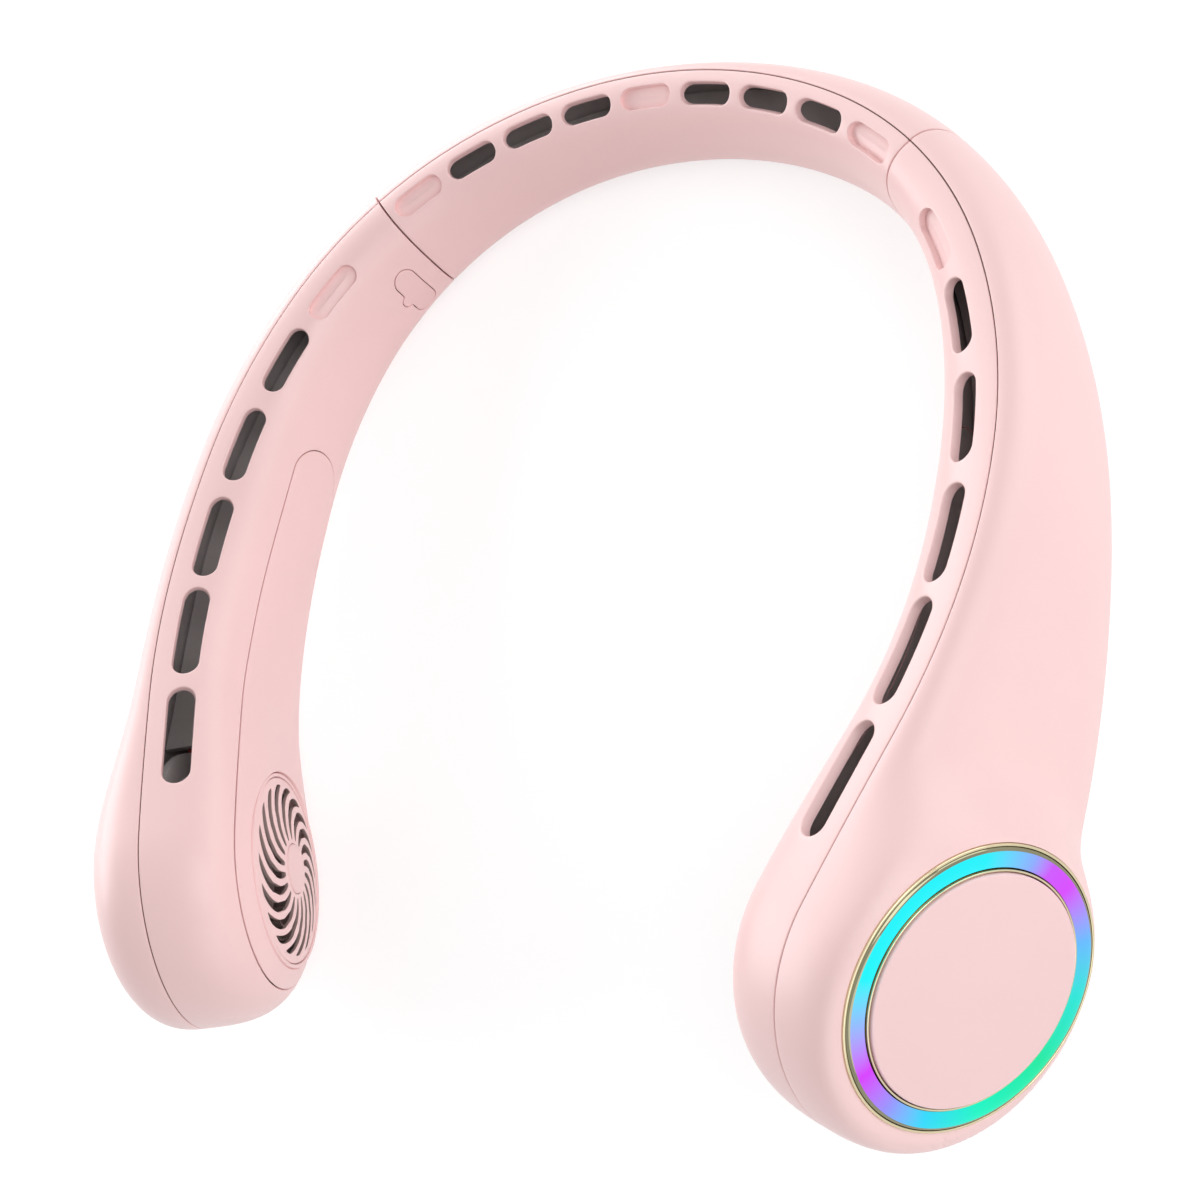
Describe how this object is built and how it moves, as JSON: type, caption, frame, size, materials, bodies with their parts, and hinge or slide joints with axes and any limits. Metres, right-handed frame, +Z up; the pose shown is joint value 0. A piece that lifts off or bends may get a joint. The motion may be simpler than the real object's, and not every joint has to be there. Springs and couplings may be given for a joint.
{
  "type": "neck fan",
  "caption": "Bladeless neck fan: a C-shaped band with air slots along its inner edge and a round fan pod at each front end, one of them with a lit ring round a press disc.",
  "frame": {"origin": "centre of the bounding box at table level, where both pods and the back of the band rest", "axes": "+X towards the arm with the plain inner side, +Y towards the back of the band, which goes behind the neck, +Z up from the table"},
  "size_m": [0.2012, 0.199, 0.0573],
  "materials": {
    "shell": "satin pink",
    "disc": "satin pale pink",
    "cover": "soft pink silicone",
    "chassis": "dark grey-brown",
    "white_plastic": "plain",
    "light": "frosted, lit from inside",
    "bright_trim": "mirror-bright plating",
    "board": "solder mask",
    "steel": "bare",
    "magnet": "dark plated",
    "copper": "enamelled winding",
    "cell": "foil pouch",
    "wire": "insulated bundle"
  },
  "bodies": {
    "neck": {"neck_outer_shell": "shell", "neck_vent_shell": "shell", "neck_duct_floor": "chassis", "neck_harness": "wire", "left_duct_sleeve": "chassis", "right_duct_sleeve": "chassis", "left_hinge_bracket": "steel", "right_hinge_bracket": "steel", "left_hinge_pin": "steel", "right_hinge_pin": "steel"},
    "left_arm": {"left_outer_shell": "shell", "left_vent_shell": "shell", "left_inner_panel": "shell", "left_intake_grille": "shell", "left_duct_divider": "chassis", "left_battery": "cell", "left_harness": "wire", "left_hinge_leaf": "steel", "left_fan_chassis": "chassis", "left_chassis_screws": "steel", "left_driver_board": "board", "left_motor_stator": "copper", "left_motor_bearings": "steel", "left_usb_socket": "steel", "left_charge_board": "board"},
    "right_arm": {"right_outer_shell": "shell", "right_vent_shell": "shell", "right_inner_panel": "shell", "right_intake_grille": "shell", "right_duct_divider": "chassis", "right_battery": "cell", "right_harness": "wire", "right_hinge_leaf": "steel", "right_fan_chassis": "chassis", "right_chassis_screws": "steel", "right_driver_board": "board", "right_motor_stator": "copper", "right_motor_bearings": "steel", "right_face_carrier": "chassis", "right_switch_board": "board", "right_light_bezel": "bright_trim", "right_led_board": "white_plastic", "right_light_ring": "light"},
    "left_rotor": {"left_motor_shaft": "steel", "left_rotor_can": "steel", "left_rotor_magnets": "magnet", "left_impeller": "white_plastic"},
    "right_rotor": {"right_motor_shaft": "steel", "right_rotor_can": "steel", "right_rotor_magnets": "magnet", "right_impeller": "white_plastic"},
    "right_button": {"right_press_disc": "disc"},
    "port_cover": {"left_port_cover": "cover"}
  },
  "joints": [
    {"name": "right_arm_hinge", "type": "hinge", "parent": "neck", "child": "right_arm", "pos_m": [0.06097, 0.07375, 0.01316], "axis": [0, 0.1762, 0.9844], "range_deg": [0, 5]},
    {"name": "right_fan_spin", "type": "hinge", "parent": "right_arm", "child": "right_rotor", "pos_m": [0.07647, -0.07114, 0.02872], "axis": [0.9019, -0.2426, 0.3574], "continuous": true},
    {"name": "right_button_press", "type": "slide", "parent": "right_arm", "child": "right_button", "axis": [-0.8565, 0.3546, -0.3751], "range_m": [0, 0.0006], "stiffness_N_per_m": 800, "springref_m": -0.0003},
    {"name": "left_arm_hinge", "type": "hinge", "parent": "neck", "child": "left_arm", "pos_m": [-0.06467, 0.07375, 0.01316], "axis": [0, -0.1762, -0.9844], "range_deg": [0, 5]},
    {"name": "left_fan_spin", "type": "hinge", "parent": "left_arm", "child": "left_rotor", "pos_m": [-0.08018, -0.07114, 0.02872], "axis": [-0.9019, -0.2426, 0.3574], "continuous": true},
    {"name": "port_cover_hinge", "type": "hinge", "parent": "left_arm", "child": "port_cover", "pos_m": [-0.05886, 0.06074, 0.01214], "axis": [0.0637, 0.1219, 0.9905], "range_deg": [0, 100]}
  ]
}
